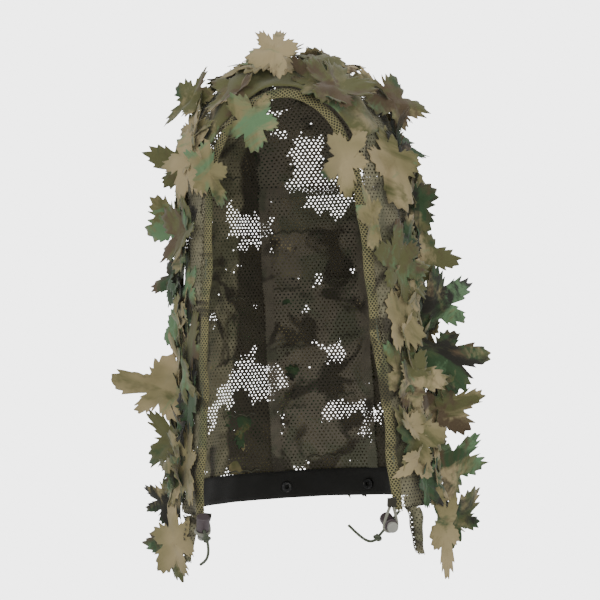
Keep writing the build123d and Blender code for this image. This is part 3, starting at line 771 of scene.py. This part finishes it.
FRONT_Y = 0.05  # leaves in front of this are seen from the front; the bare places are behind it
BARE_SHARE = 0.3  # of a leaf's length that it keeps clear of a bare place
BARE_MOVE = 0.022  # the furthest that a leaf moves for one
LEAF_LIFT = 0.009
LEAF_THICK = 0.0005
BROW_RAISE = 0.012


def leaf_look(draw, middle):
    """The tint and width of a leaf: noted for those that stand out, chance for the rest."""
    tone, wide = draw.choice(COMMON_TONES), 1.0
    nearest = NEAR
    if middle.y < FRONT_Y:
        for x, z, noted, share in NOTED:
            gap = math.hypot(middle.x - x / 1000, middle.z - z / 1000)
            if gap < nearest:
                nearest, tone, wide = gap, noted, share
    return [v + draw.uniform(-0.06, 0.06) for v in TONES[tone]], wide


def clear_of_bare(middle, length, share):
    """How far, and which way, a leaf has to move in x and z to leave the bare places open."""
    move = Vector((0, 0, 0))
    if middle.y < FRONT_Y:
        return move
    for x, z, radius in BARE:
        away = Vector((middle.x - x / 1000, 0, middle.z - z / 1000))
        short = radius / 1000 + share * length - away.length
        if short > 0:
            move += away.normalized() * short
    return move


def stray_spot(draw, middle, length):
    """A place on the form near a point, for a smaller leaf sewn beside the main one."""
    wide, deep = (float(v) for v in half_sizes(middle.z))
    for _ in range(8):
        angle = math.atan2(middle.y / deep, middle.x / wide)
        if abs(middle.x) < SEAM_X * 1.3:
            angle += draw.uniform(-0.24, 0.24)
        else:
            angle += draw.uniform(0.0, 0.24) * math.copysign(1, middle.x)
        z = max(HEM_Z + 0.04, min(-0.012, middle.z + draw.uniform(-0.04, 0.04)))
        point, normal = surface_at(angle, z)
        if point.y > FACE_Y + 0.012 and clear_of_bare(point, length, BARE_SHARE).length == 0:
            return point, normal
    return None


def outside_form(points, room):
    """Moves points that would be inside the netting out through it, behind the plane of the face."""
    wide, deep = half_sizes(points[:, 2])
    up = np.clip(points[:, 2] + RISE, 0, None) / RISE
    ratio = np.sqrt((points[:, 0] / wide) ** 2 + (points[:, 1] / deep) ** 2 + up ** 2)
    grow = np.maximum((1 + room / wide) / np.maximum(ratio, 0.2), 1)
    grow = np.where(ratio < 0.72, 1, grow)
    share = np.clip((points[:, 1] - FACE_Y) / 0.01, 0, 1)
    grow = (1 + (grow - 1) * share)[:, None]
    base = np.stack([np.zeros(len(points)), np.zeros(len(points)), np.minimum(points[:, 2], -RISE)], 1)
    return base + (points - base) * grow


CLOTH_ROOM = (0.012, 0.012, 0.02)  # how far leaves may stand out of the CAD model's box


def hold_in(points):
    """Draws points back smoothly where a leaf's tip reaches far out of the CAD model's box."""
    held = points.copy()
    for axis in range(3):
        for limit, way in ((cad_high[axis], 1), (cad_low[axis], -1)):
            past = (held[:, axis] - limit) * way
            drawn = limit + way * CLOTH_ROOM[axis] * np.tanh(past / CLOTH_ROOM[axis])
            held[:, axis] = np.where(past > 0, drawn, held[:, axis])
    return held


def facing_frame(draw, out):
    """Length, side and outward directions of a leaf that lies loosely on the form, turned by chance."""
    side = Vector((0, 0, 1)).cross(out).normalized()
    turn = draw.uniform(0, 2 * math.pi)
    facing = (out + side * draw.uniform(-0.3, 0.3) + Vector((0, 0, 1)) * draw.uniform(-0.1, 0.2)).normalized()
    along = facing.cross(side).normalized()
    across = along.cross(facing)
    spun = along * math.cos(turn) + across * math.sin(turn)
    return spun, spun.cross(facing), facing


def pulled_in(middle):
    """A leaf's middle, drawn in where the hood is slim: over the ears, and lower on the right."""
    low = -0.26 if middle.x > 0 else -0.15
    if abs(middle.x) < 0.12:
        return middle
    slim = 0.017 if low < middle.z < -0.05 else 0.009
    return middle - Vector((math.copysign(slim, middle.x), 0, 0))


def make_leaves(node, strays):
    """One piece for each CAD node of leaves: a detailed leaf on each plate, and smaller ones beside."""
    draw = random.Random(node)
    vertices, faces, ranges = [], [], []

    def put(middle, frame_of_leaf, length):
        along, side, normal = frame_of_leaf
        tint, wide = leaf_look(draw, middle)
        shape, shape_faces = leaf_shape(draw)
        start = len(vertices)
        vertices.extend(
            middle + side * v.x * length * wide + along * v.y * length + normal * v.z * length for v in shape
        )
        faces.extend(tuple(start + i for i in face) for face in shape_faces)
        ranges.append((start, len(vertices), tint))

    for points in islands(node):
        middle, along, side, normal, length = leaf_frame(points)
        length *= 1.0 if node == "leaves_brow" else 1.2
        if node == "leaves_brow" and middle.z > TOP_LEAF_Z:
            middle = middle + Vector((0, 0, BROW_RAISE))
        move = clear_of_bare(middle, length, BARE_SHARE)
        move = move.normalized() * min(move.length, BARE_MOVE)
        put(pulled_in(middle + move), (along, side, normal), length * (0.88 if move.length > 0.004 else 1))
        for _ in range(strays):
            size = draw.uniform(0.052, 0.072)
            spot = stray_spot(draw, middle, size)
            if spot:
                put(spot[0] + spot[1] * draw.uniform(0.006, 0.011), facing_frame(draw, spot[1]), size)
    for angle, z, size in MORE.get(node, []):
        point, out = surface_at(math.radians(angle), z / 1000)
        put(point + out * LEAF_LIFT, facing_frame(draw, out), size / 1000)
    placed = np.array([tuple(v) for v in vertices])
    if not node.startswith("leaves_brow"):
        placed = outside_form(placed, 0.004)
    piece = mesh_object(f"cloth_{node}", hold_in(placed), faces)
    paint_leaf(piece, None, ranges)
    thicken(piece, LEAF_THICK)
    stands_for(piece, LEAF, "leaf_cloth", node)


def make_all_leaves():
    """Every group of leaves."""
    for node in sorted(NODES):
        if node.startswith("leaves_"):
            on_form = not node.startswith(("leaves_brow", "leaves_hem"))
            strays = 1 if node in ("leaves_crown", "leaves_left_1", "leaves_right_1") else 3
            make_leaves(node, strays if on_form else 0)


def make_tacks():
    """The bar tacks that sew each leaf through the net, seen inside as short dark lines."""
    paths = []
    draw = random.Random(5)
    for node in sorted(NODES):
        if not node.startswith(("leaves_back", "leaves_left", "leaves_right", "leaves_crown")):
            continue
        for points in islands(node):
            middle = Vector(points.mean(0))
            wide, deep = (float(v) for v in half_sizes(middle.z))
            angle = math.atan2(middle.y / deep, middle.x / wide)
            z = min(middle.z, -0.02)
            half = draw.uniform(0.10, 0.17)
            path = []
            for i in range(9):
                turn = angle + half * (i / 4 - 1)
                point, normal = surface_at(turn, z + 0.002 * math.sin(i * 2.2))
                if point.y > FACE_Y + 0.006:
                    path.append(point - normal * 0.0004)
            if len(path) > 3:
                paths.append(path)
    vertices, faces = tube_mesh(paths, 0.0009, 6)
    tacks = mesh_object("leaf_tacks", vertices, faces)
    stands_for(tacks, THREAD, "seam_tape")


# ---------------------------------------------------------------- cords, locks and studs
def mm(points):
    """Points in metres from a list in millimetres."""
    return [Vector(p) / 1000 for p in points]


TAILS = {
    "right": mm([
        (106.0, -98.0, -488.0), (79.2, -98.0, -517.8), (72.0, -99.0, -518.6), (62.0, -100.0, -511.0),
        (52.0, -100.5, -500.0),
    ]),
    "left": mm([
        (-106.0, -96.0, -488.0), (-92.5, -132.0, -511.4), (-91.8, -135.3, -521.6), (-96.0, -130.4, -530.0),
        (-103.2, -122.6, -534.0),
    ]),
}
PRESS = {"right": Vector((0.37, -0.87, -0.33)), "left": Vector((-0.15, 0.5, -0.856))}
LOOP = mm([(20.0, 2.0, 0), (-1.4, 8.9, 0), (-8.0, 4.1, 0), (-8.0, -4.1, 0), (-1.4, -8.9, 0), (20.0, -2.0, 0)])
LOOP_TURN = {"right": math.radians(218), "left": math.radians(200)}
LOOP_UP = 0.004
LOCK_ALONG = 0.016
KNOT_ALONG = 0.036
CORD_R = 0.0015
ELASTIC_R = 0.0016
KNOT_SIZE = 0.00115
KNOT_CORD_R = 0.0016
STRAIGHT = 0.034  # the tail is straight this far, where the lock slides on it
SPRING_LOW, SPRING_HIGH = -0.01155, -0.00425
SPRING_R = 0.0035
SPRING_WIRE_R = 0.0004
SPRING_TURNS = 4.5
SPRING_STEPS = 108


def spline(name, points, radius):
    """A round cord along one smooth open spline."""
    curve = bpy.data.curves.new(name, "CURVE")
    curve.dimensions = "3D"
    curve.bevel_depth = 1.0  # each point's radius is the cord's own
    curve.bevel_resolution = 5
    curve.resolution_u = 16
    curve.use_fill_caps = True
    line = curve.splines.new("NURBS")
    line.points.add(len(points) - 1)
    for slot, point in zip(line.points, points):
        slot.co = (*point, 1.0)
        slot.radius = radius
    line.order_u = 3
    line.use_endpoint_u = True
    piece = bpy.data.objects.new(name, curve)
    bpy.context.scene.collection.objects.link(piece)
    return piece


def spline_length(piece):
    """Length of a cord's own line."""
    piece.data.bevel_depth = 0
    mesh = bpy.data.meshes.new_from_object(piece)
    piece.data.bevel_depth = 1.0
    points = [v.co.copy() for v in mesh.vertices]
    bpy.data.meshes.remove(mesh)
    return sum((b - a).length for a, b in zip(points, points[1:]))


def knot_mesh(name, middle, along, size, radius):
    """An overhand knot: a trefoil of cord round the line that it is tied in."""
    side = along.orthogonal().normalized()
    up = along.cross(side)
    path = []
    for i in range(72):
        t = 2 * math.pi * i / 72
        out = 2 + math.cos(3 * t)
        off = (side * out * math.cos(2 * t) + up * out * math.sin(2 * t)) * size
        path.append(middle + off + along * math.sin(3 * t) * size * 1.5)
    vertices, faces = tube_mesh([path], radius, 10, closed=True)
    return mesh_object(name, vertices, faces)


def make_cords():
    """The free tails with their knots, and the elastic loops."""
    for name, points in TAILS.items():
        run = (points[1] - points[0]).normalized()
        route = [points[0], points[0] + run * STRAIGHT, *points[1:]]
        tail = spline(f"cord_tail_{name}", route, CORD_R)
        knot = knot_mesh(f"knot_{name}", points[0] + run * KNOT_ALONG, run, KNOT_SIZE, KNOT_CORD_R)
        stands_for(tail, CORD_MAT, "drawcord", f"tail_{name}")
        stands_for(knot, CORD_MAT, "drawcord", f"tail_knot_{name}")
        round(spline_length(tail), 4)
        press = (PRESS[name] - run * PRESS[name].dot(run)).normalized()
        across = press.cross(run)
        middle = points[0] + run * LOCK_ALONG + press * LOOP_UP
        turn = LOOP_TURN[name]
        towards = run * math.cos(turn) + across * math.sin(turn)
        aside = press.cross(towards)
        route = [middle + towards * p.x + aside * p.y for p in LOOP]
        loop = spline(f"elastic_loop_{name}", route, ELASTIC_R)
        stands_for(loop, ELASTIC, "elastic", f"lock_loop_{name}", body=f"lock_{name}")
        round(spline_length(loop), 4)


def make_springs():
    """The coil springs in the locks."""
    for name, points in TAILS.items():
        run = (points[1] - points[0]).normalized()
        press = (PRESS[name] - run * PRESS[name].dot(run)).normalized()
        across = press.cross(run)
        middle = points[0] + run * LOCK_ALONG
        path = []
        for i in range(SPRING_STEPS + 1):
            turn = 2 * math.pi * SPRING_TURNS * i / SPRING_STEPS
            up = SPRING_LOW + (SPRING_HIGH - SPRING_LOW) * i / SPRING_STEPS
            path.append(middle + press * up + (run * math.cos(turn) + across * math.sin(turn)) * SPRING_R)
        spring = mesh_object(f"coil_spring_{name}", *tube_mesh([path], SPRING_WIRE_R))
        stands_for(spring, STEEL, "spring_steel", f"lock_spring_{name}", body=f"lock_{name}")
        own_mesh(spring)


def dress_cad():
    """Materials for the CAD pieces that show as they are."""
    for name in ("left", "right"):
        dress(NODES[f"lock_barrel_{name}"], LOCK_BODY)
        dress(NODES[f"lock_plunger_{name}"], LOCK_BUTTON)
        dress(NODES[f"snap_wires_{name}"], STEEL)
        dress(NODES[f"stud_cap_{name}"], BLACK_METAL)
        dress(NODES[f"stud_socket_{name}"], BLACK_METAL)
        dress(NODES[f"loop_tab_{name}"], TAPE_DARK)
    dress(NODES["drawcord"], CORD_MAT)


ROLL_R = 0.0045  # of the corner's roll, where lengths round it are measured
ROLL_LEAN = 0.006
ROLL_CORE = 0.94  # the core's share of the net's size


def roll_surface(top, out, tall):
    """Maps (round, down) lengths to a rolled corner, a spiral that narrows and leans outwards."""
    def place(turn_by, down):
        turn = turn_by / ROLL_R
        share = down / tall
        uneven = 1 + 0.12 * np.sin(down * 240 + turn)
        radius = (0.0032 + 0.0021 * turn / math.pi) * (1 - 0.42 * share) * uneven
        lean = out * ROLL_LEAN * share + 0.0016 * np.sin(down * 130)
        return np.stack([
            top.x + lean + radius * np.cos(turn), top.y + radius * np.sin(turn),
            top.z - down + 0.0012 * np.sin(turn * 1.5),
        ], 1)
    return place


def core_surface(place, top, out, tall):
    """The same roll, drawn in towards its middle."""
    def inside(turn_by, down):
        points = place(turn_by, down)
        middle_x = top.x + out * ROLL_LEAN * down / tall
        points[:, 0] = middle_x + (points[:, 0] - middle_x) * ROLL_CORE
        points[:, 1] = top.y + (points[:, 1] - top.y) * ROLL_CORE
        return points
    return inside


def make_rolls():
    """The rolled net corners that hang below the hem."""
    for name, out in (("right", 1), ("left", -1)):
        low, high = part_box(f"corner_roll_{name}")
        middle = (Vector(low) + Vector(high)) / 2
        tall = high[2] - low[2]
        top = Vector((middle.x - out * 0.002, middle.y, high[2]))
        place = roll_surface(top, out, tall)
        roll = net(
            f"rolled_corner_{name}", place, (0, ROLL_R * 3 * math.pi), (0, tall), everywhere,
            pitch=0.0036, row=0.0026, strand=0.6, seed=40 + out,
        )
        stands_for(roll, NET_SIDE, "facing_net", f"corner_roll_{name}")
        # painted shade: a dark core inside the roll, seen through its holes
        core = sheet_grid(
            f"rolled_core_{name}", core_surface(place, top, out, tall),
            (0, ROLL_R * 2 * math.pi), (0.001, tall - 0.001), (24, 30),
        )
        stands_for(core, CORE_IN_SHADE, "facing_net")


# ---------------------------------------------------------------- the set
CAMERA_AZIMUTH = math.radians(8)
CAMERA_FAR = 3.11
CAMERA_ROLL = math.radians(2.8)
CAMERA_LENS = 171
FLOOR_HALF = 1.6
FLOOR_Z = -0.9
LAMPS_AT = Vector((0, 0, -0.25))
LAMPS = (  # place, size and power
    ((-1.6, -2.2, 1.2), 1.2, 26), ((1.8, -1.9, 0.7), 1.4, 14), ((0.2, 0.6, 2.0), 1.6, 14),
    ((0.5, -2.7, -0.2), 1.0, 16),
)
WORLD_LIGHT = 0.75
WORLD_SEEN = 4.2
AIM = Vector((-0.0035, 0.014, -0.262))


def make_set():
    """Camera, floor and soft lights."""
    data = bpy.data.cameras.new("camera")
    camera = bpy.data.objects.new("camera", data)
    bpy.context.scene.collection.objects.link(camera)
    data.lens = CAMERA_LENS
    data.sensor_width = 36
    away = Vector((math.sin(CAMERA_AZIMUTH), -math.cos(CAMERA_AZIMUTH), 0))
    right = Vector((math.cos(CAMERA_AZIMUTH), math.sin(CAMERA_AZIMUTH), 0))
    up = Vector((0, 0, 1))
    tilted_right = right * math.cos(CAMERA_ROLL) - up * math.sin(CAMERA_ROLL)
    tilted_up = right * math.sin(CAMERA_ROLL) + up * math.cos(CAMERA_ROLL)
    turned = Matrix((tilted_right, tilted_up, away)).transposed().to_4x4()
    turned.translation = AIM + away * CAMERA_FAR
    camera.matrix_world = turned
    bpy.context.scene.camera = camera
    bpy.context.view_layer.update()
    corners = [
        (x * FLOOR_HALF, y * FLOOR_HALF, FLOOR_Z) for x, y in ((-1, -1), (1, -1), (1, 1), (-1, 1))
    ]
    floor = mesh_object("floor", corners, [(0, 1, 2, 3)])
    n = Nodes("pale_floor")
    dress(floor, n.finish((0.93, 0.93, 0.93, 1), 0.9))
    world = bpy.data.worlds.new("world")
    world.use_nodes = True
    world.node_tree.nodes["Background"].inputs[0].default_value = (1, 1, 1, 1)
    seen = world.node_tree.nodes.new("ShaderNodeLightPath").outputs["Is Camera Ray"]
    strength = world.node_tree.nodes.new("ShaderNodeMapRange")
    strength.inputs["To Min"].default_value = WORLD_LIGHT
    strength.inputs["To Max"].default_value = WORLD_SEEN
    world.node_tree.links.new(seen, strength.inputs["Value"])
    world.node_tree.links.new(strength.outputs["Result"], world.node_tree.nodes["Background"].inputs[1])
    bpy.context.scene.world = world
    for place, size, power in LAMPS:
        lamp = bpy.data.lights.new("soft", "AREA")
        lamp.size = size
        lamp.energy = power
        light = bpy.data.objects.new("soft", lamp)
        bpy.context.scene.collection.objects.link(light)
        light.location = place
        light.rotation_euler = (LAMPS_AT - Vector(place)).to_track_quat("-Z", "Y").to_euler()


make_set()
make_cords()
make_panels()
make_channel()
make_facings()
make_bands()
make_all_leaves()
make_tacks()
make_rolls()
make_springs()
dress_cad()

bpy.context.view_layer.update()
